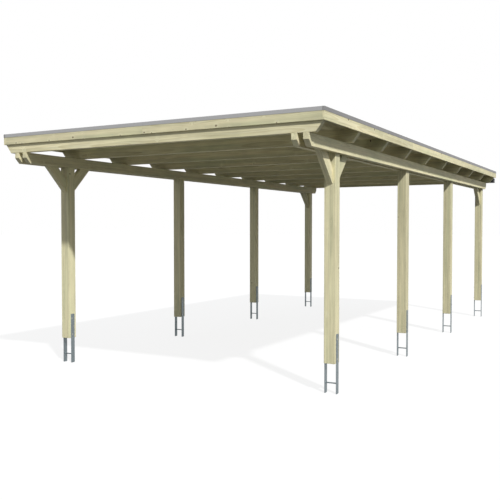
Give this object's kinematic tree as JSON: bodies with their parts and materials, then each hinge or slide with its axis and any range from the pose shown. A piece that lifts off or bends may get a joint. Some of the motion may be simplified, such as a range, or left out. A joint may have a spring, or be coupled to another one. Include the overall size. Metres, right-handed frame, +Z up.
{
  "type": "carport",
  "caption": "Open flat-roofed timber carport with square posts on steel anchors, double side beams with knee braces, cross rafters, board fascias and a rear gutter.",
  "frame": {"origin": "on the floor, at the middle of the overall box", "axes": "+Z up, +X to the right seen from the front, +Y from the front to the back, along the beams"},
  "size_m": [4.044, 8.432, 2.772],
  "materials": {
    "timber": "sawn and planed pressure-treated softwood, matt",
    "galvanised_steel": "hot-dip galvanised, dull",
    "edge_metal": "satin grey sheet",
    "roofing_sheet": "matt black sheet",
    "gutter_metal": "dark grey, satin"
  },
  "bodies": {
    "root": {"anchor_l1": "galvanised_steel", "anchor_l2": "galvanised_steel", "anchor_l3": "galvanised_steel", "anchor_l4": "galvanised_steel", "anchor_r1": "galvanised_steel", "anchor_r2": "galvanised_steel", "anchor_r3": "galvanised_steel", "anchor_r4": "galvanised_steel", "beam_left_inner": "timber", "beam_left_outer": "timber", "beam_right_inner": "timber", "beam_right_outer": "timber", "brace_l1_back": "timber", "brace_l1_front": "timber", "brace_l4_front": "timber", "brace_r1_back": "timber", "brace_r1_front": "timber", "brace_r4_front": "timber", "fascia_front": "timber", "fascia_left": "timber", "fascia_right": "timber", "gutter": "gutter_metal", "post_l1": "timber", "post_l2": "timber", "post_l3": "timber", "post_l4": "timber", "post_r1": "timber", "post_r2": "timber", "post_r3": "timber", "post_r4": "timber", "rafter_1": "timber", "rafter_10": "timber", "rafter_2": "timber", "rafter_3": "timber", "rafter_4": "timber", "rafter_5": "timber", "rafter_6": "timber", "rafter_7": "timber", "rafter_8": "timber", "rafter_9": "timber", "roof_boards": "timber", "roof_membrane": "roofing_sheet", "trim_front": "edge_metal", "trim_left": "edge_metal", "trim_right": "edge_metal"}
  },
  "joints": []
}
